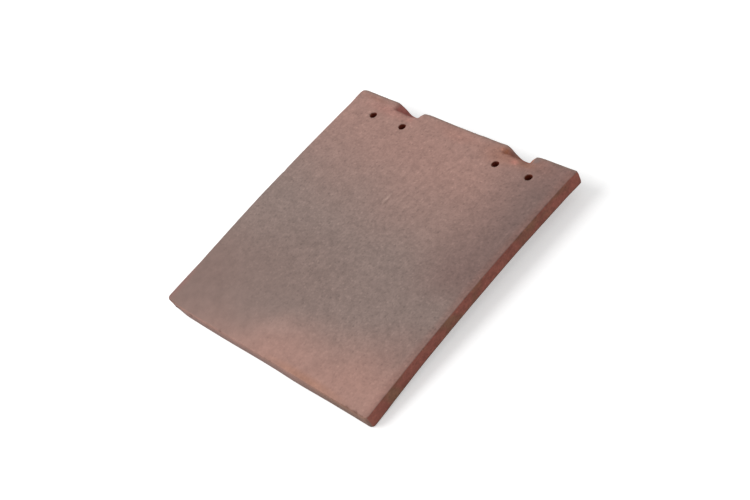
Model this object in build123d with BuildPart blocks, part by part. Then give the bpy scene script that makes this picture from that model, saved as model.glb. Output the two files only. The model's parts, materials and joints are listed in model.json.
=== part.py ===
from build123d import *
import os
from math import asin, atan, atan2, cos, hypot, sin, tan

# A clay plain tile of the wide tile-and-a-half size, used at verges and valleys. It is one fired piece:
# a slab arched along its length, with two nibs turned down at its head to hook over a batten, the scoops
# that turning the nibs leaves in the top face, and four nail holes. Lengths are in millimetres.
# The tile lies as it would on a level floor, on its nibs and on the lower edge of its tail.
# +Y runs from tail to head, +X across the tile and +Z up.

# Slab
length = 265.0  # tail to head, along the chord of the arch
width = 248.0
thickness = 13.0
camber = 4.2  # rise of the arch above its chord
head_corner_radius = 2.5
tail_corner_radius = 4.0
arris_radius = 1.0

# Nail holes, two pairs in one row
nail_hole_diameter = 7.0
nail_row_from_head = 22.5
inner_nail_spacing = 109.4
outer_nail_spacing = 182.0

# Nibs, drafted lugs whose back is flush with the head
nib_spacing = 129.4
nib_drop = 11.0
nib_width = 36.0
nib_length = 14.0
nib_tip_width = 26.0
nib_tip_length = 12.0
nib_corner_radius = 3.0
nib_tip_radius = 2.0
nib_root_radius = 2.0

# Scoops, one above each nib: a round-bottomed trough with a leaning front wall
scoop_depth = 13.0
scoop_width = 31.0
scoop_floor_width = 9.0
scoop_floor_radius = 6.0
scoop_reach = 8.5  # from the head to the front rim
scoop_floor_reach = 3.8
scoop_front_radius = 2.5
scoop_rim_radius = 4.0

overrun = 5.0  # how far a cut runs on past the clay

# Rest pose: the tail's lower arris and the front edges of the nib tips are round, and both touch the floor.
half_length = length / 2
end_slope = 2 * atan(camber / half_length)
nib_lean = atan((nib_length - nib_tip_length) / nib_drop)
tail_foot = Vector(
    0,
    arris_radius - half_length,
    arris_radius * (tan(end_slope) + 1 / cos(end_slope)) - thickness,
)
nib_foot = Vector(
    0,
    half_length - nib_tip_length + nib_tip_radius * (1 - sin(nib_lean)) / cos(nib_lean),
    nib_tip_radius - nib_drop - thickness,
)
stride = nib_foot - tail_foot
tilt = asin((nib_tip_radius - arris_radius) / hypot(stride.Y, stride.Z)) - atan2(stride.Z, stride.Y)

# The bed is the plane of the chord, tilted as the tile rests: its origin is the middle of the chord.
bed = Plane(
    origin=(
        0,
        -(thickness + nib_drop) * sin(tilt) / 2,
        arris_radius - tail_foot.Y * sin(tilt) - tail_foot.Z * cos(tilt),
    ),
    x_dir=(1, 0, 0),
    z_dir=(0, -sin(tilt), cos(tilt)),
)
lengthwise = Axis(bed.origin, bed.y_dir)
upward = Axis(bed.origin, bed.z_dir)
side_plane = Plane(origin=bed.origin, x_dir=bed.y_dir, z_dir=bed.x_dir)
head_plane = Plane(origin=bed.origin + bed.y_dir * half_length, x_dir=bed.x_dir, z_dir=-bed.y_dir)

nib_places = [-nib_spacing / 2, nib_spacing / 2]
nail_places = [
    (side * spacing / 2, half_length - nail_row_from_head)
    for spacing in (inner_nail_spacing, outer_nail_spacing)
    for side in (-1, 1)
]


def drafted_blocks(top, bottom, back):
    """Make one block at each nib: a trapezium seen from the head, with a front that leans seen from the side.

    top and bottom are each a level, a width and a reach from the head, and back is the run past the head.
    """
    top_level, top_width, top_reach = top
    bottom_level, bottom_width, bottom_reach = bottom
    with BuildPart() as blocks:
        with BuildSketch(head_plane.offset(-back)):
            for place in nib_places:
                with BuildLine():
                    Polyline(
                        (place - top_width / 2, top_level),
                        (place - bottom_width / 2, bottom_level),
                        (place + bottom_width / 2, bottom_level),
                        (place + top_width / 2, top_level),
                        close=True,
                    )
                make_face()
        extrude(amount=back + max(top_reach, bottom_reach))
        with BuildSketch(side_plane):
            with BuildLine():
                Polyline(
                    (half_length + back, top_level),
                    (half_length - top_reach, top_level),
                    (half_length - bottom_reach, bottom_level),
                    (half_length + back, bottom_level),
                    close=True,
                )
            make_face()
        extrude(amount=width / 2, both=True, mode=Mode.INTERSECT)
    return blocks.part


def on_draft(lower, upper, drop, rise):
    """Carry the straight draft from a lower size to an upper one on past the upper, by a rise."""
    return upper + (upper - lower) * rise / drop


def is_beside_nib(edge):
    """Tell whether an edge of the top face or the underside runs round a nib, and not round the slab."""
    middle = bed.to_local_coords(edge.center())
    return abs(abs(middle.X) - nib_spacing / 2) < nib_width and middle.Y < half_length - arris_radius / 2


# Nibs start inside the slab, because its underside arches up over them.
nib_rise = camber
nib_blocks = drafted_blocks(
    top=(
        nib_rise - thickness,
        on_draft(nib_tip_width, nib_width, nib_drop, nib_rise),
        on_draft(nib_tip_length, nib_length, nib_drop, nib_rise),
    ),
    bottom=(-nib_drop - thickness, nib_tip_width, nib_tip_length),
    back=0,
)
with BuildPart() as nibs:
    add(nib_blocks)
    fronts = nibs.faces().group_by(lengthwise)[0]
    fillet(fronts.edges().filter_by(Axis.X, reverse=True), nib_corner_radius)
    tips = nibs.faces().group_by(upward)[0]
    fillet([edge for tip in tips for edge in tip.edges().sort_by(lengthwise)[:-1]], nib_tip_radius)

# Scoop cutters
scoop_blocks = drafted_blocks(
    top=(
        overrun,
        on_draft(scoop_floor_width, scoop_width, scoop_depth, overrun),
        on_draft(scoop_floor_reach, scoop_reach, scoop_depth, overrun),
    ),
    bottom=(-scoop_depth, scoop_floor_width, scoop_floor_reach),
    back=overrun,
)
with BuildPart() as scoops:
    add(scoop_blocks)
    floors = scoops.faces().group_by(upward)[0]
    fillet(floors.edges().filter_by(lengthwise), scoop_floor_radius)
    fronts = scoops.faces().group_by(lengthwise)[0]
    fillet([edge for front in fronts for edge in front.edges().sort_by(upward)[:-1]], scoop_front_radius)

with BuildPart() as roof_tile:
    # Arched slab, cut square to its chord at head and tail
    with BuildSketch(side_plane):
        with BuildLine():
            top_arc = ThreePointArc((-half_length, 0), (0, camber), (half_length, 0))
            lower_arc = ThreePointArc(
                (-half_length, -thickness), (0, camber - thickness), (half_length, -thickness)
            )
            Line(top_arc @ 0, lower_arc @ 0)
            Line(top_arc @ 1, lower_arc @ 1)
        make_face()
    extrude(amount=width / 2, both=True)
    corners = roof_tile.edges().filter_by(upward).group_by(lengthwise)
    fillet(corners[0], tail_corner_radius)
    fillet(corners[-1], head_corner_radius)

    # Nibs, rounded into the underside
    add(nibs.part)
    underside = roof_tile.faces().filter_by(GeomType.CYLINDER).sort_by(SortBy.AREA)[-2:].sort_by(upward)[0]
    roots = [edge for edge in underside.edges() if is_beside_nib(edge)]
    fillet(roots, nib_root_radius)

    # Scoops, rounded over into the top face
    add(scoops.part, mode=Mode.SUBTRACT)
    top_face = roof_tile.faces().filter_by(GeomType.CYLINDER).sort_by(SortBy.AREA)[-2:].sort_by(upward)[-1]
    rims = [edge for edge in top_face.edges() if is_beside_nib(edge)]
    fillet(rims, scoop_rim_radius)

    # Arrises all round the slab and the backs of the nibs
    outline = roof_tile.faces().filter_by(lengthwise) + roof_tile.faces().filter_by(Axis.X)
    fillet(outline.edges().filter_by(upward, reverse=True), arris_radius)

    # Nail holes, square to the bed
    with BuildSketch(bed):
        with Locations(nail_places):
            Circle(nail_hole_diameter / 2)
    extrude(amount=thickness + overrun, both=True, mode=Mode.SUBTRACT)

roof_tile.part.label = "roof_tile"
os.makedirs("parts", exist_ok=True)
export_step(roof_tile.part, "parts/roof_tile.step")
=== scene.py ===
# %% [markdown]
# # A cambered clay roof tile
# A plain roof tile is one slab of clay, pressed, sanded, dried and fired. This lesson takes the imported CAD
# solid as a fixed frame, gives a copy of it the small unevenness of fired clay, and then builds the finish.
# The frame is loaded first, because the sizes and places below follow from it.

import json
from bisect import bisect_left
from math import ceil, cos, radians, sin, sqrt

import bmesh
import bpy
from mathutils import Matrix, Quaternion, Vector, noise


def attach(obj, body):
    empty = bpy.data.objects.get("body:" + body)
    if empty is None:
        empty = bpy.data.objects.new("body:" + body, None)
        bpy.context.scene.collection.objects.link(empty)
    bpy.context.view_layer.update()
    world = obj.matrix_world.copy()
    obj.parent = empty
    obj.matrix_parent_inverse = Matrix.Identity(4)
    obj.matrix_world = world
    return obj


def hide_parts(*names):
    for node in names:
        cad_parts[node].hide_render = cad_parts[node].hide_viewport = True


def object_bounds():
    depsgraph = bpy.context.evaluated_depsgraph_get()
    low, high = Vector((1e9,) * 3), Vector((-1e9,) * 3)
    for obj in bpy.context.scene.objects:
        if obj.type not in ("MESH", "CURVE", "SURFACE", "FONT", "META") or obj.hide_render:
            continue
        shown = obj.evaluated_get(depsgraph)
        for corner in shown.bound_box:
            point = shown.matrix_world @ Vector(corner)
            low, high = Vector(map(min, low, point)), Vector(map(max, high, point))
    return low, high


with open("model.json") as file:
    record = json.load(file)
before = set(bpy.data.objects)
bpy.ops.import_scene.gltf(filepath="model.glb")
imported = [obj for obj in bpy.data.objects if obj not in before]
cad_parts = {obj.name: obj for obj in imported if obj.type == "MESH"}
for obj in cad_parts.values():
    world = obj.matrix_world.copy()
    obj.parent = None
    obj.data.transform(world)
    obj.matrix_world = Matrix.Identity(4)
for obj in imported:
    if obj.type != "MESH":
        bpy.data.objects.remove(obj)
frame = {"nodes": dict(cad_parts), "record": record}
cad_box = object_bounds()
solid = frame["nodes"]["roof_tile"]
print("CAD box:", [tuple(corner) for corner in cad_box], "with", len(solid.data.polygons), "triangles")

# %% [markdown]
# ## The tile's own axes
# The tile rests on its nibs and its tail, so it leans a little. Work on the clay could be done as it lies,
# with the lean in every formula, but it is easier in the axes of the tile itself: x across, y from tail to
# head, z out of the top face, in millimetres, with z at nought on the chord of the arch. The nail holes
# are square to that chord, so their axis gives the lean. The camber and the thickness are the ones that
# the solid was drawn with.

# %% Tile axes
MM = 0.001
camber = 4.2
thickness = 13.0
nails = [mount for mount in frame["record"]["mounts"] if mount["kind"] == "bore"]
across = Vector((1, 0, 0))
upward = Vector(nails[0]["axis"]).normalized()
along = upward.cross(across)
lean = Matrix((across, along, upward))
lean_angle = upward.angle(Vector((0, 0, 1)))

corners = [lean @ vertex.co for vertex in solid.data.vertices]
tail_end = min(corner.y for corner in corners)
head_end = max(corner.y for corner in corners)
crown = max(corner.z for corner in corners)
half_width = max(corner.x for corner in corners) / MM
half_length = (head_end - tail_end) / 2 / MM
chord_middle = Vector((0, (tail_end + head_end) / 2, crown - camber * MM))
to_tile = Matrix.Scale(1 / MM, 4) @ Matrix.Translation(-chord_middle) @ lean.to_4x4()
print(f"tile {2 * half_width:.1f} by {2 * half_length:.1f} mm, leaning {lean_angle:.4f} rad")

# %% [markdown]
# ## A copy of the solid
# A new slab could be built by hand, but a copy of the solid has every hole and fillet in its right place.
# A CAD mesh is loose triangles, long and thin where the surface is flat. The copy is merged, so that
# neighbours share their corners, and moved into the tile's axes. The solid itself stays as it is.

# %% Copy and merge
merge_gap = 1e-6
clay = bmesh.new()
clay.from_mesh(solid.data)
bmesh.ops.remove_doubles(clay, verts=clay.verts, dist=merge_gap)
bmesh.ops.transform(clay, matrix=to_tile, verts=clay.verts)
open_edges = [edge for edge in clay.edges if len(edge.link_faces) != 2]
print("merged to", len(clay.verts), "corners, open edges:", len(open_edges))

# %% [markdown]
# ## Cells small enough to shape
# Clay relief needs corners every couple of millimetres. A voxel remesh would give them, but it would wear
# away the nail holes and the fine arrises. Slicing the copy with parallel planes keeps every CAD edge, so
# the slab is sliced across, along and, on its edges only, upward. The planes are closer near the arrises,
# where the nicks are. The middle plane cuts first and each half is then cut by itself, which is quick.

# %% Slicing planes
edge_band = 5.0
edge_cell, scoop_cell, open_cell = 0.9, 1.3, 2.5
first_line = 0.55
scoop_sides = (46.0, 84.0)
scoop_band = 15.0
slice_gap = 0.02


def even_lines(start, end, cell):
    """Give places from start to end, both included, about a cell apart."""
    steps = ceil((end - start) / cell)
    return [start + (end - start) * step / steps for step in range(steps + 1)]


def graded_lines(*stops):
    """Give slicing places through the stops, each a place and the size of the cells after it."""
    places = []
    for (start, cell), (end, _) in zip(stops, stops[1:]):
        places += even_lines(start, end, cell)[:-1]
    return places + [stops[-1][0]]


right_lines = graded_lines(
    (0, open_cell),
    (scoop_sides[0], scoop_cell),
    (scoop_sides[1], open_cell),
    (half_width - edge_band, edge_cell),
    (half_width - first_line, None),
)
lines_across = [-place for place in reversed(right_lines[1:])] + right_lines
lines_along = graded_lines(
    (first_line - half_length, edge_cell),
    (edge_band - half_length, open_cell),
    (half_length - scoop_band, scoop_cell),
    (half_length - edge_band, edge_cell),
    (half_length - first_line, None),
)


def slice_faces(faces, places, direction):
    """Cut the faces by planes square to direction, at places measured from the tile's middle."""
    if not faces or not places:
        return
    middle = len(places) // 2
    cut = places[middle]
    edges = {edge for face in faces for edge in face.edges}
    verts = {vert for face in faces for vert in face.verts}
    sliced = bmesh.ops.bisect_plane(
        clay,
        geom=faces + list(edges) + list(verts),
        dist=slice_gap,
        plane_co=direction * cut,
        plane_no=direction,
    )
    kept = [face for face in sliced["geom"] if isinstance(face, bmesh.types.BMFace)]
    before = [face for face in kept if face.calc_center_median().dot(direction) < cut]
    after = [face for face in kept if face.calc_center_median().dot(direction) >= cut]
    slice_faces(before, places[:middle], direction)
    slice_faces(after, places[middle + 1 :], direction)


print(len(lines_across), "planes across and", len(lines_along), "along")

# %% Slice the copy
face_cell = 1.7
nib_foot_level = -22.5
upright_turn = 0.8
tile_x, tile_y, tile_z = Vector((1, 0, 0)), Vector((0, 1, 0)), Vector((0, 0, 1))
slice_faces(list(clay.faces), lines_across, tile_x)
slice_faces(list(clay.faces), lines_along, tile_y)
upright = [face for face in clay.faces if abs(face.normal.z) < upright_turn]
lines_up = even_lines(nib_foot_level, -first_line, face_cell)
slice_faces(upright, lines_up, tile_z)
print("sliced into", len(clay.faces), "cells with", len(clay.verts), "corners")

# %% [markdown]
# ## Square cells
# The long edges of the CAD triangles still run across the flat cells and nearly double their number. Away
# from the head and underneath, where nothing is shaped by hand, they are dissolved. A limited dissolve
# would take the slicing lines away too, so the edges are picked one by one: only an edge that is on no
# slicing plane and lies flat between its two faces goes. Holes, arrises and fillets keep all their edges.

# %% Dissolve what the CAD mesh left
hand_band = 45.0
flat_angle = 0.006
underside_turn = -0.9
plane_gap = 0.03
slice_planes = (lines_across, lines_along, lines_up)


def on_one_plane(start, end, places):
    """Tell whether two distances are both at the same one of the sorted places."""
    after = bisect_left(places, start)
    nearest = places[max(after - 1, 0) : after + 1]
    return any(max(abs(start - place), abs(end - place)) < plane_gap for place in nearest)


def is_left_over(edge):
    """Tell whether an edge of the CAD mesh crosses a flat stretch that is not shaped by hand."""
    start, end = (vert.co for vert in edge.verts)
    near_head = max(start.y, end.y) > half_length - hand_band
    by_hand = near_head and edge.link_faces[0].normal.z > underside_turn
    if by_hand or edge.calc_face_angle(1) > flat_angle:
        return False
    return not any(on_one_plane(start[axis], end[axis], places) for axis, places in enumerate(slice_planes))


left_over = [edge for edge in clay.edges if is_left_over(edge)]
bmesh.ops.dissolve_edges(clay, edges=left_over, use_verts=True)
print(len(left_over), "edges dissolved, leaving", len(clay.faces), "cells")

# %% [markdown]
# ## Back onto the true arch
# The CAD mesh draws the long arch as a few flat strips, and under low light their joins would show as
# bands. More strips would only make finer bands. The arch is part of a circle, so every corner of the top
# face and the underside can go back onto the arch itself.

# %% True arch
arch_radius = (half_length**2 + camber**2) / (2 * camber)
strip_error = 0.15
level_turn = 0.97


def arch_level(y):
    """Give the level of the top face at a place along the tile, or at its end for a place beyond."""
    inside = min(abs(y), half_length)
    return sqrt(arch_radius**2 - inside * inside) - (arch_radius - camber)


clay.normal_update()
moved = 0
for vert in clay.verts:
    level = arch_level(vert.co.y)
    if vert.normal.z < 0:
        level -= thickness
    if abs(vert.normal.z) > level_turn and abs(vert.co.z - level) < strip_error:
        vert.co.z = level
        moved += 1
print(moved, "corners set on the arch")

# %% [markdown]
# ## What each corner belongs to
# The finish has to tell the sanded top from the cut edges and the hollows, and it should go on doing so
# wherever the tile is moved. So each corner keeps a few notes in the mesh: the way it faced before any
# relief, how far it lies below the top face, how deep it is in a scoop or a nail hole, and how far it is
# chipped. Vertex groups could hold the numbers, but attributes can hold a direction as well, and the
# shader reads them by name.

# %% Notes on the corners
facing = clay.verts.layers.float_vector.new("facing")
below = clay.verts.layers.float.new("below")
hollow = clay.verts.layers.float.new("hollow")
bored = clay.verts.layers.float.new("bored")
chipped = clay.verts.layers.float.new("chipped")
scoop_middle = 64.7
scoop_half = 17.5
scoop_run = 13.0
hollow_depth = 7.0
bore_shade = 1.5
side_turn = -0.1
arris_margin, floor_margin, bore_margin = 0.4, 0.5, 0.15
nail_radius = nails[0]["dims"]["r_mm"]
nail_places = [to_tile @ Vector(nail["pos_m"]) for nail in nails]


def from_scoop(place):
    """Give how far to the side of the nearer scoop's middle a corner lies."""
    return abs(abs(place.x) - scoop_middle)


def in_scoop(place, turned):
    """Tell whether a corner is on the wall or floor of a scoop, and not on the head or under the tile."""
    near_head = half_length - scoop_run < place.y < half_length - arris_margin
    above = turned.z > side_turn and place.z > -thickness - floor_margin
    return from_scoop(place) < scoop_half and near_head and above


def in_nail_hole(place):
    """Tell whether a corner is on the wall of a nail hole."""
    return any((place - nail).xy.length < nail_radius + bore_margin for nail in nail_places)


clay.normal_update()
for vert in clay.verts:
    vert[facing] = vert.normal
    vert[below] = max(arch_level(vert.co.y) - vert.co.z, 0)
    if in_scoop(vert.co, vert.normal):
        vert[hollow] = min(vert[below] / hollow_depth, 1)
        vert[facing] = (0, 0, 1)
    if in_nail_hole(vert.co):
        vert[bored] = min(vert[below] / bore_shade, 1)
print(sum(vert[hollow] > 0 for vert in clay.verts), "corners in the scoops")
print(sum(vert[bored] > 0 for vert in clay.verts), "corners in the nail holes")

# %% [markdown]
# ## A head shaped by hand
# The nibs are pushed down while the clay is soft, and this is done by eye. So the head sags a little
# between its corners, the two scoops are not quite alike, and their right-hand shoulders are pressed lower.
# A sculpting brush could make these marks, but a push that is written down gives the same head on every
# run. Corners near its middle move with it, and the push dies away at its reach. Each has a middle, a
# reach, a depth and the way that its place faces.

# %% Push the head
head_sag = 0.7
nib_share = (scoop_middle / half_width) ** 2


def press(verts, middle, reach, depth, outward):
    """Push the corners near a place into the clay, most at its middle, and give each one's share.

    reach is one length, or three of them: across, along and upward.
    """
    across_reach, along_reach, up_reach = reach if isinstance(reach, tuple) else (reach, reach, reach)
    shares = {}
    for vert in verts:
        apart = vert.co - middle
        gap = Vector((apart.x / across_reach, apart.y / along_reach, apart.z / up_reach)).length
        if gap < 1:
            shares[vert] = (1 - gap * gap) ** 2
            vert.co -= outward.normalized() * depth * shares[vert]
    return shares


for vert in clay.verts:
    headness = min(max(vert.co.y / half_length, 0), 1) ** 3
    vert.co.z += head_sag * headness * ((vert.co.x / half_width) ** 2 - nib_share) / (1 - nib_share)
pushes = [
    (Vector((0, half_length, 0)), 46.0, 0.7, Vector((0, 0.5, 0.85))),
    (Vector((-scoop_middle - 14, half_length - 2, -3)), 11.0, -2.2, Vector((1, 0, 0.2))),
    (Vector((-scoop_middle - 7, half_length - 2, -9)), 9.0, -1.6, Vector((1, 0, 0.4))),
    (Vector((scoop_middle - 12, half_length - 2, -3)), 8.0, -1.5, Vector((0.7, 0, 0.7))),
    (Vector((scoop_middle - 25, half_length, 0)), 14.0, 0.5, Vector((0, 0.5, 0.85))),
    (Vector((-scoop_middle + 15, half_length, -2)), 9.0, 1.7, Vector((-0.6, 0, 0.8))),
    (Vector((scoop_middle + 15, half_length, -2)), 8.0, 0.7, Vector((-0.6, 0, 0.8))),
    (Vector((-scoop_middle + 4, half_length - 9, 0)), 8.0, 0.8, Vector((0, 0.3, 1))),
    (Vector((scoop_middle + 13, half_length - 6, -1)), 9.0, 2.8, Vector((-0.4, 0.2, 0.9))),
    (Vector((scoop_middle + 8, half_length, -9)), 10.0, 1.1, Vector((-0.7, 0, 0.7))),
    (Vector((scoop_middle + 1, half_length, -13)), (9.0, 9.0, 6.0), 1.1, Vector((0, 0.3, 1))),
]
head_verts = [vert for vert in clay.verts if vert.co.y > half_length - hand_band]
for middle, reach, depth, outward in pushes:
    press(head_verts, middle, reach, depth, outward)
print(len(pushes), "pushes on", len(head_verts), "corners")

# %% [markdown]
# ## Softer edges at the head
# Then the head is rubbed over. Its upper arris is rounder than the cut ones, the scoops run out in soft
# mouths, and their front rims sink away gently. A bevel needs a clean edge to work on, and the pushes have
# bent these, so they are smoothed: each corner moves towards its neighbours, and more rounds of it give a
# rounder edge. The right-hand side of each mouth is the softer one.

# %% Soften the head
head_band = 4.5
mouth_half, mouth_margin, mouth_level = 17.0, 2.0, -1.5
rim_back, rim_depth = 2.0, 8.0
arris_rounds, rim_rounds = 10, 36
round_share = 0.5
mouth_ends = ((-1, 5.0, 8), (1, 8.0, 40))  # side of the scoop, reach and rounds


def soften(verts, rounds):
    """Smooth the corners towards their neighbours, a round at a time."""
    for _ in range(rounds):
        bmesh.ops.smooth_vert(
            clay, verts=verts, factor=round_share, use_axis_x=True, use_axis_y=True, use_axis_z=True
        )
    print(len(verts), "corners smoothed", rounds, "times")


head_arris = [
    vert
    for vert in clay.verts
    if vert.co.y > half_length - head_band
    and vert.co.z > -head_band
    and from_scoop(vert.co) > mouth_half + mouth_margin
    and abs(vert.co.x) < half_width - head_band
]
soften(head_arris, arris_rounds)
front_rims = [
    vert
    for vert in clay.verts
    if half_length - scoop_band < vert.co.y < half_length - rim_back
    and vert.co.z > -rim_depth
    and from_scoop(vert.co) < mouth_half + mouth_margin
    and vert[facing].z > side_turn
    and vert[bored] == 0
]
soften(front_rims, rim_rounds)
for hand, reach, rounds in mouth_ends:
    mouths = [
        Vector((side * scoop_middle + hand * mouth_half, half_length, mouth_level)) for side in (-1, 1)
    ]
    soften([vert for vert in clay.verts if any((vert.co - m).length < reach for m in mouths)], rounds)

# %% [markdown]
# ## Warped corners
# Clay shrinks unevenly as it dries and fires. The left corner of the tail has curled up, the foot of the
# tail has spread in two places, and so have the head's corners and the foot of the right edge at both of
# its ends. A lattice could bend the whole slab, but each of these stays at its own corner, so they are
# gentle pushes outward, with a depth below nought. Only the last is a push inward, which blunts the head's
# left corner.

# %% Warp the corners
tail_place = -half_length
warps = [
    (Vector((-half_width, tail_place, -6)), (26.0, 48.0, 60.0), -1.7, Vector((0, 0, 1))),
    (Vector((-60, tail_place, -9)), (62.0, 12.0, 10.0), -0.5, Vector((0, -1, 0))),
    (Vector((40, tail_place, -9)), (42.0, 12.0, 10.0), -0.6, Vector((0, -1, 0))),
    (Vector((half_width, half_length, -6)), (9.0, 18.0, 9.0), -1.0, Vector((1, 0.3, 0))),
    (Vector((half_width, half_length, -1)), (6.0, 14.0, 6.0), -0.8, Vector((1, 0.3, 0))),
    (Vector((half_width, half_length, -9)), (14.0, 24.0, 9.0), -0.5, Vector((1, 0.2, -0.2))),
    (Vector((half_width, half_length - 20, -12)), (10.0, 75.0, 9.0), -0.6, Vector((1, 0, -0.3))),
    (Vector((half_width, tail_place + 5, -12)), (10.0, 60.0, 9.0), -0.8, Vector((1, 0, 0))),
    (Vector((-half_width, half_length - 5, -1)), (6.5, 18.0, 8.0), -0.7, Vector((-1, 0, 0))),
    (Vector((-half_width, half_length, -1)), 6.0, 0.8, Vector((-0.6, 0.8, 0.2))),
]
for middle, reach, depth, outward in warps:
    press(clay.verts, middle, reach, depth, outward)
print(len(warps), "warps")

# %% [markdown]
# ## Nicks and a worn corner
# Tiles knock against each other in the stack. A few nicks are along the tail, and its left corner is
# worn away underneath. A boolean cut would leave a hard rim, and worn clay is blunt, so each is a shallow
# bite, pushed in as the marks on the head were. A bite of a millimetre or more shows the broken clay in
# full.

# %% Nicks
full_bite = 1.0
bites = [
    (Vector((-119.0, tail_place, -11.0)), 16.0, 1.4, Vector((-0.6, -0.8, -0.5))),
    (Vector((-94.0, tail_place, -5.0)), 2.6, 0.9, Vector((0, -1, 0))),
    (Vector((-71.0, tail_place, -5.5)), 2.2, 0.6, Vector((0, -1, 0.2))),
    (Vector((-52.0, tail_place, -1.0)), 2.4, 0.6, Vector((0, -0.8, 0.6))),
    (Vector((102.5, tail_place, -0.5)), 2.8, 0.9, Vector((0, -0.8, 0.6))),
    (Vector((111.0, tail_place, -0.5)), 3.2, 1.0, Vector((0, -0.8, 0.6))),
    (Vector((12.0, tail_place, -0.5)), 1.8, 0.4, Vector((0, -0.7, 0.7))),
    (Vector((half_width, -38.0, 2.5)), 2.4, 0.6, Vector((0.7, 0, 0.7))),
    (Vector((half_width, 61.0, 2.0)), 1.9, 0.5, Vector((0.7, 0, 0.7))),
    (Vector((-half_width, 22.0, 3.0)), 2.6, 0.6, Vector((-0.7, 0, 0.7))),
    (Vector((18.0, half_length, -0.5)), 2.2, 0.5, Vector((0, 0.7, 0.7))),
]
edge_verts = [
    vert
    for vert in clay.verts
    if abs(vert.co.x) > half_width - 2 * edge_band or abs(vert.co.y) > half_length - 2 * edge_band
]
for middle, reach, depth, outward in bites:
    for vert, share in press(edge_verts, middle, reach, depth, outward).items():
        vert[chipped] = max(vert[chipped], share * min(depth, full_bite))
print(len(bites), "bites out of", len(edge_verts), "corners near the edges")

# %% [markdown]
# ## Relief of the clay
# Pressed clay is never quite flat. The top swells and dips by a tenth of a millimetre over a few
# centimetres, carries a finer lumpiness, and has faint drag lines where the sanded face was struck off
# from tail to head. The cut edges are dragged the same way, and the arrises are slightly ragged. A
# Displace modifier could lift and sink the corners, but code can tell arrises and hollows apart. What
# faces down only sinks, so that the tile still lies on the floor and not in it. Perlin noise gives the
# same values on every run, so nothing here needs a seed.

# %% Relief
swell, lump, crumb = 0.14, 0.06, 0.035
swell_length, lump_length, crumb_length = 42, 13, 5
drag, drag_width, drag_length = 0.04, 2.6, 70
ragged, ragged_length = 0.3, 4
arris_turn = 0.3
hollow_calm = 0.7
shift_along, shift_up = 2.3, -1.7


def wave(place, length, shift):
    """Give smooth noise of about that wavelength in millimetres, different for each shift."""
    return noise.noise(place / length + Vector((shift, shift_along * shift, shift_up * shift)))


def drag_line(place):
    """Give noise drawn out along the tile, as a strike leaves it."""
    return noise.noise(Vector((place.x / drag_width, place.y / drag_length, place.z / drag_width)))


def relief(place, turned):
    """Give how far a corner at that place, facing that way, stands out of the even surface."""
    rise = swell * wave(place, swell_length, 1) + lump * wave(place, lump_length, 2)
    rise += crumb * wave(place, crumb_length, 3)
    rise += drag * drag_line(place)
    arris = (1 - max(abs(turned.x), abs(turned.y), abs(turned.z))) / arris_turn
    return rise - ragged * max(min(arris, 1), 0) * (0.5 + 0.5 * wave(place, ragged_length, 4)) ** 2


clay.normal_update()
normals = [vert.normal.copy() for vert in clay.verts]
for vert, normal in zip(clay.verts, normals):
    rise = relief(vert.co.copy(), vert[facing])
    if normal.z < 0:
        rise = min(rise, 0)
    vert.co += normal * rise * (1 - hollow_calm * vert[hollow]) * (1 - vert[bored])
print("relief on", len(normals), "corners")

# %% [markdown]
# ## The finished piece
# The clay goes back to the part's frame and becomes the piece that stands for the CAD node. It is shaded
# smooth, because its arrises are rounded in the mesh itself. Triangles are counted here, because a piece
# that is too heavy would be thinned when it is exported.

# %% Make the piece
bmesh.ops.transform(clay, matrix=to_tile.inverted(), verts=clay.verts)
for face in clay.faces:
    face.smooth = True
tile_mesh = bpy.data.meshes.new("fired_tile")
clay.to_mesh(tile_mesh)
clay.free()
fired_tile = bpy.data.objects.new("fired_tile", tile_mesh)
bpy.context.scene.collection.objects.link(fired_tile)
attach(fired_tile, "root")
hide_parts("roof_tile")
triangles = sum(len(polygon.vertices) - 2 for polygon in tile_mesh.polygons)
print("fired_tile has", triangles, "triangles")

# %% [markdown]
# ## Helpers for the finish
# Materials are built from nodes, and a node needs its settings, its plain values and its links. One helper
# sets all three, and three more add the nodes that are used most. Clay colours are easiest to judge as the
# eye sees them, so they are written as eight-bit colours and turned into the linear light that the renderer
# works in.

# %% Node helpers
def add_node(tree, kind, inputs=(), **settings):
    """Add a node, give it its settings, and fill its inputs with values or with links from sockets."""
    made = tree.nodes.new(kind)
    for name, value in settings.items():
        setattr(made, name, value)
    for socket, value in dict(inputs).items():
        if isinstance(value, bpy.types.NodeSocket):
            tree.links.new(value, made.inputs[socket])
        else:
            made.inputs[socket].default_value = value
    return made


def math(tree, operation, first, second=0.0, clamp=False):
    """Add a math node and give its result."""
    return add_node(
        tree, "ShaderNodeMath", {0: first, 1: second}, operation=operation, use_clamp=clamp
    ).outputs[0]


def vector_math(tree, operation, inputs):
    """Add a vector math node and give its vector, or its value where the result is one number."""
    result = "Value" if operation in ("DOT_PRODUCT", "LENGTH") else "Vector"
    return add_node(tree, "ShaderNodeVectorMath", inputs, operation=operation).outputs[result]


def map_range(tree, value, low, high):
    """Turn a value into a soft mask that is nought at low and one at high."""
    return add_node(
        tree,
        "ShaderNodeMapRange",
        {"Value": value, "From Min": low, "From Max": high},
        interpolation_type="SMOOTHSTEP",
    ).outputs[0]


def clay_colour(red, green, blue):
    """Turn an eight-bit colour as seen into the linear colour that a socket takes."""
    seen = [part / 255 for part in (red, green, blue)]
    linear = [part / 12.92 if part <= 0.04045 else ((part + 0.055) / 1.055) ** 2.4 for part in seen]
    return (*linear, 1.0)


print("warm clay in linear light:", clay_colour(164, 129, 119))
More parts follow.
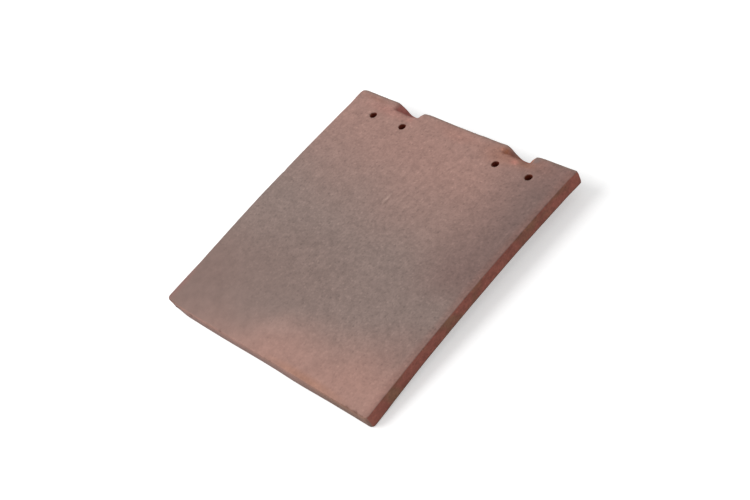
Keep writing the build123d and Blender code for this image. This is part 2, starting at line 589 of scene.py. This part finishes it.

# %% [markdown]
# ## Fronts and patches: kiln colour and painted shade
# Flame and smoke colour the stack unevenly, so a tile has soft fronts where one colour gives way to
# another, and patches where something touched or shaded it in the kiln. The same masks later place painted
# shade and painted highlights as well. A painted picture could hold them, but masks worked out from the
# place on the tile are clear at any size. Both are used again and again with other values, so each is a
# small node group.

# %% Front group, for kiln colour and painted shade
def new_group(name, sockets_in, sockets_out):
    """Start a shader node group with named sockets and give its tree, its inputs and its output node."""
    tree = bpy.data.node_groups.new(name, "ShaderNodeTree")
    for socket, kind in sockets_in.items():
        tree.interface.new_socket(socket, in_out="INPUT", socket_type=kind)
    for socket, kind in sockets_out.items():
        tree.interface.new_socket(socket, in_out="OUTPUT", socket_type=kind)
    return tree, tree.nodes.new("NodeGroupInput").outputs, tree.nodes.new("NodeGroupOutput")


VECTOR, FLOAT = "NodeSocketVector", "NodeSocketFloat"
front_tree, front_in, front_out = new_group(
    "colour_and_shade_front",
    {"Place": VECTOR, "Line": VECTOR, "Toward": VECTOR, "Width": FLOAT},
    {"Mask": FLOAT},
)
from_line = vector_math(front_tree, "SUBTRACT", {0: front_in["Place"], 1: front_in["Line"]})
past_line = vector_math(front_tree, "DOT_PRODUCT", {0: from_line, 1: front_in["Toward"]})
in_widths = math(front_tree, "DIVIDE", past_line, front_in["Width"])
soft_front = map_range(front_tree, in_widths, -0.5, 0.5)
front_tree.links.new(soft_front, front_out.inputs["Mask"])
print("group:", front_tree.name)

# %% Patch group, for kiln colour, wear, painted shade and painted highlights
patch_tree, patch_in, patch_out = new_group(
    "colour_shade_and_highlight_patch", {"Place": VECTOR, "Middle": VECTOR, "Reach": VECTOR}, {"Mask": FLOAT}
)
from_middle = vector_math(patch_tree, "SUBTRACT", {0: patch_in["Place"], 1: patch_in["Middle"]})
in_reaches = vector_math(patch_tree, "DIVIDE", {0: from_middle, 1: patch_in["Reach"]})
soft_patch = map_range(patch_tree, vector_math(patch_tree, "LENGTH", {0: in_reaches}), 1.0, 0.0)
patch_tree.links.new(soft_patch, patch_out.inputs["Mask"])
print("group:", patch_tree.name)

# %% [markdown]
# ## Sand grain
# The top was dusted with sand before pressing, and the fired face has a fine even tooth: pale grains, dark
# pits where a grain has gone, short drag strokes along the tile and fine crooked furrows, which are bands
# of a noise put through a sine. Modelled grains would be millions of faces, so the group gives one tone
# about nought, which lightens and darkens the clay and is also the height of its tooth. Cells scatter the
# grains and pits, one to a cell at most, and noise fills in between them. Its scale is in grains to the
# metre.

# %% Sand grain group
noise_middle = 0.5
cell_share, spot_rim, spot_core = 0.5, 0.55, 0.2
pit_lots, grain_lots = (0.62, 0.95), (0.38, 0.05)
stroke_stretch, stroke_range = (1, 0.12, 1), (0.10, 0.22)
furrow_turns = 11.0
grain_tree, grain_in, grain_out = new_group(
    "sand_grain", {"Place": VECTOR, "Scale": FLOAT}, {"Tone": FLOAT}
)


def grain_noise(share, detail, stretch=(1, 1, 1)):
    """Add noise at a share of the grain's scale, drawn out by a stretch, about nought."""
    drawn = add_node(grain_tree, "ShaderNodeMapping", {"Vector": grain_in["Place"], "Scale": stretch})
    scale = math(grain_tree, "MULTIPLY", grain_in["Scale"], share)
    made = add_node(
        grain_tree, "ShaderNodeTexNoise", {"Vector": drawn.outputs[0], "Scale": scale, "Detail": detail}
    )
    return math(grain_tree, "SUBTRACT", made.outputs[0], noise_middle)


cell_scale = math(grain_tree, "MULTIPLY", grain_in["Scale"], cell_share)
cells = add_node(grain_tree, "ShaderNodeTexVoronoi", {"Vector": grain_in["Place"], "Scale": cell_scale})
lots = add_node(grain_tree, "ShaderNodeSeparateColor", {0: cells.outputs["Color"]}).outputs
spot = map_range(grain_tree, cells.outputs["Distance"], spot_rim, spot_core)
pits = math(grain_tree, "MULTIPLY", spot, map_range(grain_tree, lots["Red"], *pit_lots))
grains = math(grain_tree, "MULTIPLY", spot, map_range(grain_tree, lots["Red"], *grain_lots))
spots = math(grain_tree, "SUBTRACT", grains, pits)
strokes = map_range(grain_tree, grain_noise(0.6, 1.0, stroke_stretch), *stroke_range)
furrows = math(grain_tree, "SINE", math(grain_tree, "MULTIPLY", grain_noise(0.42, 0.0), furrow_turns))
grain_layers = [
    (grain_noise(1.0, 2.0), 0.22),
    (grain_noise(0.4, 2.0), 0.30),
    (spots, 0.14),
    (furrows, 0.045),
    (strokes, 0.05),
]
weighed = [math(grain_tree, "MULTIPLY", layer, weight) for layer, weight in grain_layers]
tone_sum = weighed[0]
for layer in weighed[1:]:
    tone_sum = math(grain_tree, "ADD", tone_sum, layer)
grain_tree.links.new(tone_sum, grain_out.inputs["Tone"])
print("group:", grain_tree.name, "of", len(grain_tree.nodes), "nodes")

# %% [markdown]
# ## Fired clay: where the colours lie
# One material covers the tile, because it is one body of clay. It reads the place on the tile from Object
# coordinates, which need no unwrapping. The place is first pushed about by slow noise, so that no front or
# patch has a drawn edge. Marks that are sharp on the tile take the place as it is. Colours go on in
# layers, each through its mask, as a painter lays one glaze over another.

# %% Places for the colours
drift_scale, drift_detail, drift_reach = 16.0, 2.0, 0.03
right_through = 1e6
finish = bpy.data.materials.new("fired_clay")
finish.use_nodes = True
nodes = finish.node_tree
nodes.nodes.clear()
place = add_node(nodes, "ShaderNodeTexCoord").outputs["Object"]


def clay_noise(seen_at, scale, detail):
    """Add noise to the material and give its outputs."""
    made = add_node(nodes, "ShaderNodeTexNoise", {"Vector": seen_at, "Scale": scale, "Detail": detail})
    return made.outputs


drift = clay_noise(place, drift_scale, drift_detail)["Color"]
drift = vector_math(nodes, "SUBTRACT", {0: drift, 1: (noise_middle, noise_middle, noise_middle)})
drift = vector_math(nodes, "SCALE", {0: drift, "Scale": drift_reach})
drifted = vector_math(nodes, "ADD", {0: place, 1: drift})
print("material:", finish.name)


# %% Masks and layers
def times(first, second):
    """Multiply two masks or values of the material."""
    return math(nodes, "MULTIPLY", first, second)


def front(line, toward, width, seen_at=drifted):
    """Place a front, for kiln colour and painted shade: nought before the line and one past it, over a width
    in millimetres.
    """
    made = add_node(nodes, "ShaderNodeGroup", node_tree=front_tree)
    nodes.links.new(seen_at, made.inputs["Place"])
    made.inputs["Line"].default_value = Vector((*line, 0)) * MM
    made.inputs["Toward"].default_value = Vector((*toward, 0)).normalized()
    made.inputs["Width"].default_value = width * MM
    return made.outputs["Mask"]


def patch(middle, reach, strength=1.0, seen_at=drifted):
    """Place a patch, for colour and for painted shade and highlights, of that reach across and along, in
    millimetres.
    """
    made = add_node(nodes, "ShaderNodeGroup", node_tree=patch_tree)
    nodes.links.new(seen_at, made.inputs["Place"])
    made.inputs["Middle"].default_value = Vector((*middle, 0)) * MM
    made.inputs["Reach"].default_value = Vector((*reach, right_through)) * MM
    return times(made.outputs["Mask"], strength)


def lay_over(mask, under, over):
    """Lay one colour over another through a mask and give the result."""
    return add_node(nodes, "ShaderNodeMix", {0: mask, 6: under, 7: over}, data_type="RGBA").outputs[2]


def lay_all(under, layers):
    """Lay colours over a first one in turn, each a name, its mask and its colour, and give the result."""
    for _, mask, over in layers:
        under = lay_over(mask, under, over)
    print(len(layers), "colours laid:", ", ".join(name for name, _, _ in layers))
    return under


print("fronts and patches drift by up to", drift_reach / 2 / MM, "mm")

# %% [markdown]
# ## Fired clay: the sanded top
# The head and the right of the tail fired a warm pinkish brown. A greyer band crosses the middle and runs
# down to the left of the tail, the right edge is darker towards the head, and a few small patches break it
# up. Painted shade goes along the head arris and over the scoops' front rims, with a painted highlight in
# front of each scoop. One gradient can't follow all that, so broad fronts come first and smaller marks go
# over them.

# %% Top colours
right_edge = times(front((80, 0), (1, 0), 70), front((0, -18), (0, 1), 45))
edge_clay = lay_over(front((0, 108), (0, 1), 40), clay_colour(130, 106, 100), clay_colour(139, 109, 102))
rubbed_edge = times(front((119, 0), (1, 0), 9, place), 0.5)
# Painted shade: a darker, greyer band along the head's upper arris, where the rounded arris turns from the
# light.
head_arris_shade = times(front((0, 129.5), (0, 1), 4, place), 0.8)
top_layers = [
    ("grey band", front((0, 42), (-0.12, -1), 130), clay_colour(139, 120, 113)),
    ("warm tail", front((0, -107), (0.26, -1), 62), clay_colour(168, 131, 120)),
    ("dusky tail", patch((-114, -102), (112, 82), 0.9), clay_colour(133, 110, 103)),
    ("dusky middle", patch((-45, -58), (125, 62), 0.5), clay_colour(131, 110, 103)),
    ("dusky right", patch((114, -76), (42, 42), 0.5), clay_colour(136, 112, 105)),
    ("red corner", patch((-124, -116), (9, 34), 0.5, place), clay_colour(150, 104, 98)),
    ("right edge", right_edge, edge_clay),
    ("rubbed edge", rubbed_edge, clay_colour(138, 100, 91)),
    ("orange head", patch((62, 122), (48, 18), 0.65), clay_colour(157, 109, 92)),
    ("pink head", patch((-78, 122), (46, 13), 0.5), clay_colour(174, 122, 112)),
    ("brown head", patch((-104, 126.5), (24, 4), 0.6, place), clay_colour(148, 107, 94)),
    ("warm head", patch((0, 126), (44, 10), 0.5), clay_colour(170, 126, 114)),
    ("orange tail", patch((52, -131), (62, 7), 0.5, place), clay_colour(172, 122, 98)),
    ("pale tail", patch((-3, -105), (26, 16), 0.35), clay_colour(178, 146, 136)),
    ("head arris shade", head_arris_shade, clay_colour(136, 112, 103)),
    # Painted shade: the clay darkens over each scoop's front rim and mouth, where the rim turns away from
    # the light.
    ("left rim", patch((-scoop_middle, 127.5), (19, 9.5), 0.8, place), clay_colour(132, 80, 72)),
    ("right rim", patch((scoop_middle, 127.5), (19, 9.5), 0.8, place), clay_colour(138, 88, 74)),
    # Painted highlights: a pale spot just in front of each scoop's front rim.
    ("pale right rim", patch((68.5, 118), (7, 4.5), 0.7, place), clay_colour(190, 128, 115)),
    ("pale left rim", patch((-55, 118.5), (7, 4.5), 0.5, place), clay_colour(184, 132, 122)),
    ("scrape", patch((-8.3, 38.5), (2.3, 10), 0.42, place), clay_colour(186, 158, 147)),
    ("scrape shade", patch((-5.7, 36.5), (2.0, 9), 0.4, place), clay_colour(118, 94, 86)),
]
top = lay_all(clay_colour(164, 129, 119), top_layers)

# %% [markdown]
# ## Fired clay: edges, hollows and underside
# The cut edges were never sanded, so they show the redder body of the clay, in soft stretches of red and
# olive brown. The tail face took some of the sand. The underside is bare clay. Some of it is painted shade:
# the head face's dark clay reaches onto its rounded arris, a dark line runs along the foot of the cut
# faces, and the nail holes darken with depth. Faces could have materials of their own, but these would
# meet in hard lines. Masks from the notes that the mesh keeps blend into each other over the arrises.

# %% Edge masks
square_turn, head_turn = (0.55, 0.85), (0.15, 0.6)
under_turn, sky_turn = (-0.2, -0.8), (0.0, 0.4)
facing_note = add_node(nodes, "ShaderNodeAttribute", attribute_name="facing").outputs["Vector"]
facing_parts = add_node(nodes, "ShaderNodeSeparateXYZ", {0: facing_note}).outputs


def note(name):
    """Read one of the notes on the corners."""
    return add_node(nodes, "ShaderNodeAttribute", attribute_name=name).outputs["Fac"]


def between(value, low, high):
    """Turn a value into a mask in this material that is nought at low and one at high."""
    return map_range(nodes, value, low, high)


below_note, hollow_note, bored_note, chip_note = map(note, ("below", "hollow", "bored", "chipped"))
sideways = between(math(nodes, "ABSOLUTE", facing_parts["X"]), *square_turn)
endways = between(math(nodes, "ABSOLUTE", facing_parts["Y"]), *square_turn)
# The head face's own clay, its mask reaching onto the rounded head arris so that the arris shows painted
# shade.
headward_clay_and_shade = between(facing_parts["Y"], *head_turn)
downward = between(facing_parts["Z"], *under_turn)
skyward = between(facing_parts["Z"], *sky_turn)
print("masks from the notes")

# %% Edge and hollow clays
stretch_scale, stretch_detail, stretch_range = 34.0, 2.0, (0.42, 0.6)
end_depths, floor_shares = (1.0, 8.0), (0.25, 0.9)
stretches = between(clay_noise(place, stretch_scale, stretch_detail)[0], *stretch_range)
side_clay = lay_over(stretches, clay_colour(150, 90, 78), clay_colour(132, 94, 74))
under_clay = lay_over(stretches, clay_colour(156, 112, 98), clay_colour(147, 110, 96))

right_end = front((62, 0), (1, 0), 70)
upper_end = lay_over(stretches, clay_colour(159, 122, 112), clay_colour(157, 121, 109))
upper_end = lay_over(right_end, upper_end, clay_colour(150, 113, 98))
lower_end = lay_over(right_end, clay_colour(138, 110, 103), clay_colour(129, 102, 91))
end_clay = lay_over(between(below_note, *end_depths), upper_end, lower_end)

right_scoop = front((0, 0), (1, 0), 30)
scoop_shoulder = lay_over(right_scoop, clay_colour(158, 98, 90), clay_colour(172, 112, 84))
scoop_floor = lay_over(right_scoop, clay_colour(168, 108, 100), clay_colour(166, 114, 99))
scoop_clay = lay_over(between(hollow_note, *floor_shares), scoop_shoulder, scoop_floor)
print("clays for the sides, the ends, the underside and the scoops")

# %% Edge colours
lower_shade_depths, lower_shade_strength = (10.5, 12.5), 0.55
shoulder_shares = (0.0, 0.5)
chip_strength = 0.7
cut_face = math(nodes, "MAXIMUM", sideways, endways)
# Painted shade: a dark line along the foot of the cut faces, next to the floor.
lower_edge_shade = times(times(between(below_note, *lower_shade_depths), lower_shade_strength), cut_face)
chips = math(nodes, "MULTIPLY", chip_note, chip_strength, clamp=True)
body_layers = [
    ("underside", downward, under_clay),
    ("ends", endways, end_clay),
    ("head", headward_clay_and_shade, clay_colour(128, 108, 98)),
    ("sides", sideways, side_clay),
    ("lower edge shade", lower_edge_shade, clay_colour(92, 74, 64)),
    ("scoops", between(hollow_note, *shoulder_shares), scoop_clay),
    # Painted shade: the walls of the nail holes darken with depth.
    ("nail holes", bored_note, clay_colour(122, 50, 30)),
    ("chips", chips, clay_colour(110, 80, 70)),
]
body = lay_all(top, body_layers)

# %% [markdown]
# ## Fired clay: rubbed places
# Turning down the right-hand nib rubbed the sand about. A grey line is left along the scoop's mouth, the
# right shoulder is grey, and orange and brown streaks run over the left shoulder and the front rim. Each
# is a small patch, kept off what faces down, because a patch goes right through the tile.

# %% Rubbed places
def rubbed(middle, reach, strength):
    """Place a small patch on what faces up."""
    return times(patch(middle, reach, strength, place), skyward)


rubbed_layers = [
    ("grey mouth", rubbed((53.5, 131.5), (9, 4), 0.75), clay_colour(166, 136, 128)),
    ("grey shoulder", rubbed((84.5, 127.5), (7, 6), 0.75), clay_colour(126, 110, 106)),
    ("brown shoulder", rubbed((53.0, 123.5), (5, 3.5), 0.6), clay_colour(140, 80, 56)),
    ("orange shoulder", rubbed((49.3, 126.0), (4, 3), 0.6), clay_colour(190, 128, 106)),
    ("dark streak", rubbed((62.0, 123.5), (5, 2.5), 0.5), clay_colour(110, 62, 54)),
    ("orange rim", rubbed((80.0, 119.5), (14, 4.5), 0.5), clay_colour(156, 110, 88)),
]
body = lay_all(body, rubbed_layers)

# %% [markdown]
# ## Fired clay: grain and shader
# The grain goes over every colour as a change of tone. It is worn smoother towards the tail, and the middle
# is faintly combed along the tile, where the sand was struck off. A slower mottle goes over it, strongest
# on the cut sides. The grain's height feeds the bump, and the roughness stays high all over, because
# unglazed clay has hardly any shine.

# %% Grain and mottle
grain_scale = 740.0
mottle_scale, mottle_detail = 110.0, 3.0
combing_scale, combing_detail = 150.0, 1.0
full_life, tail_wear, corner_wear = 1.1, 0.45, 0.55
combing_stretch, combing_depth = (1, 0.15, 1), 0.28
top_mottle, side_mottle = 0.36, 0.5
grain = add_node(nodes, "ShaderNodeGroup", {"Place": place, "Scale": grain_scale}, node_tree=grain_tree)
grain_tone = grain.outputs["Tone"]
worn_tail = times(front((0, -84), (-0.2, -1), 80), tail_wear)
worn_smooth = math(nodes, "ADD", worn_tail, patch((-124, -140), (170, 120), corner_wear))
tooth = times(grain_tone, math(nodes, "SUBTRACT", full_life, worn_smooth))
drawn_out = add_node(nodes, "ShaderNodeMapping", {"Vector": place, "Scale": combing_stretch}).outputs[0]
combing = clay_noise(drawn_out, combing_scale, combing_detail)[0]
combing = math(nodes, "SUBTRACT", combing, noise_middle)
combed = times(combing, patch((20, 42), (75, 60), combing_depth))
tooth = math(nodes, "ADD", tooth, combed)
mottle = clay_noise(place, mottle_scale, mottle_detail)[0]
mottle = math(nodes, "SUBTRACT", mottle, noise_middle)
mottling = times(mottle, math(nodes, "ADD", times(sideways, side_mottle), top_mottle))
tone = times(math(nodes, "ADD", tooth, 1.0), math(nodes, "ADD", mottling, 1.0))
toned = vector_math(nodes, "SCALE", {0: body, "Scale": tone})
print("grain of", grain_scale, "to the metre")

# %% Shader
tooth_height, tooth_strength = 0.0004, 0.5
plain_roughness, roughness_change = 0.88, 0.2
bump = add_node(
    nodes, "ShaderNodeBump", {"Strength": tooth_strength, "Distance": tooth_height, "Height": tooth}
)
roughness = math(nodes, "ADD", times(grain_tone, roughness_change), plain_roughness, clamp=True)
shader = add_node(
    nodes,
    "ShaderNodeBsdfPrincipled",
    {
        "Base Color": toned,
        "Roughness": roughness,
        "Specular IOR Level": 0.25,
        "Normal": bump.outputs["Normal"],
    },
)
add_node(nodes, "ShaderNodeOutputMaterial", {"Surface": shader.outputs["BSDF"]})
tile_mesh.materials.append(finish)
print("fired clay has", len(nodes.nodes), "nodes")

# %% [markdown]
# ## Floor and background
# The tile lies on a plain white floor. A curved backdrop is another way, but the view looks down, so a
# matt disc that takes the tile's shadow is enough. For rays that go straight to the eye a little white is
# added to it, and the world is white there too, so the background is white with no more light on the tile.

# %% Floor
floor_radius = 6.0
floor_shape = bmesh.new()
bmesh.ops.create_circle(floor_shape, cap_ends=True, segments=96, radius=floor_radius)
floor_mesh = bpy.data.meshes.new("floor")
floor_shape.to_mesh(floor_mesh)
floor_shape.free()
floor = bpy.data.objects.new("floor", floor_mesh)
bpy.context.scene.collection.objects.link(floor)
print("floor of radius", floor_radius, "m")


# %% Floor finish
def seen_directly(tree):
    """Give a mask of the rays that the eye, a mirror or glass sends."""
    rays = add_node(tree, "ShaderNodeLightPath").outputs
    seen = math(tree, "MAXIMUM", rays["Is Camera Ray"], rays["Is Glossy Ray"])
    return math(tree, "MAXIMUM", seen, rays["Is Transmission Ray"])


pale, white = (0.8, 0.8, 0.8, 1), (1, 1, 1, 1)
added_white = 0.42
floor_finish = bpy.data.materials.new("floor_white")
floor_finish.use_nodes = True
floor_nodes = floor_finish.node_tree
floor_nodes.nodes.clear()
matt = add_node(floor_nodes, "ShaderNodeBsdfDiffuse", {"Color": pale}).outputs[0]
lift = math(floor_nodes, "MULTIPLY", seen_directly(floor_nodes), added_white)
glow = add_node(floor_nodes, "ShaderNodeEmission", {"Strength": lift}).outputs[0]
lit_floor = add_node(floor_nodes, "ShaderNodeAddShader", {0: matt, 1: glow}).outputs[0]
add_node(floor_nodes, "ShaderNodeOutputMaterial", {"Surface": lit_floor})
floor_mesh.materials.append(floor_finish)
print("floor takes", added_white, "of added white")

# %% World
ambient = 0.5
world = bpy.data.worlds.new("studio")
world.use_nodes = True
bpy.context.scene.world = world
world_nodes = world.node_tree
world_nodes.nodes.clear()
soft_room = add_node(world_nodes, "ShaderNodeBackground", {"Color": white, "Strength": ambient}).outputs[0]
white_room = add_node(world_nodes, "ShaderNodeBackground", {"Color": white}).outputs[0]
room = add_node(
    world_nodes, "ShaderNodeMixShader", {0: seen_directly(world_nodes), 1: soft_room, 2: white_room}
).outputs[0]
add_node(world_nodes, "ShaderNodeOutputWorld", {"Surface": room})
print("world gives", ambient, "of the light")

# %% [markdown]
# ## Light
# The light on the real tile comes from its left and a little from its tail: the right edge is in shade and
# the tail face is not. A sun or a small lamp would draw hard shadows in the scoops, so one wide soft lamp
# does it, and the white room fills the rest.

# %% Lamp
aim = Vector((0, 0, cad_box[1].z / 2))
lamp_way = Vector((-0.55, -0.4, 0.75)).normalized()
lamp_distance = 2.2
lamp_data = bpy.data.lights.new("window", "AREA")
lamp_data.shape = "DISK"
lamp_data.size = 1.6
lamp_data.energy = 33.5
lamp = bpy.data.objects.new("window", lamp_data)
lamp.location = aim + lamp_way * lamp_distance
lamp.rotation_mode = "QUATERNION"
lamp.rotation_quaternion = (-lamp_way).to_track_quat("-Z", "Y")
bpy.context.scene.collection.objects.link(lamp)
bpy.context.scene.view_settings.view_transform = "Standard"
print("lamp at", tuple(round(value, 2) for value in lamp.location))

# %% [markdown]
# ## Camera
# The photograph looks down on the tile's right side at about 44 degrees, and it was turned so that the
# tile lies askew. A constraint that aims the camera would leave out that roll, so the view is worked out
# from the place that it is aimed at, its bearing, height and roll.

# %% Camera
bearing, height, roll = radians(62.3225), radians(43.5562), radians(26.6575)
view_distance = 1.16994
view_aim = Vector((0.01422, -0.00531, 0.01513))
view_back = Vector((sin(bearing) * cos(height), -cos(bearing) * cos(height), sin(height)))
camera_data = bpy.data.cameras.new("camera")
camera_data.sensor_width = 36.0
camera_data.lens = 68.52
camera = bpy.data.objects.new("camera", camera_data)
camera.location = view_aim + view_back * view_distance
camera.rotation_mode = "QUATERNION"
level_view = (-view_back).to_track_quat("-Z", "Y")
camera.rotation_quaternion = level_view @ Quaternion((0, 0, 1), -roll)
bpy.context.scene.collection.objects.link(camera)
bpy.context.scene.camera = camera
print("camera at", tuple(round(value, 4) for value in camera.location))
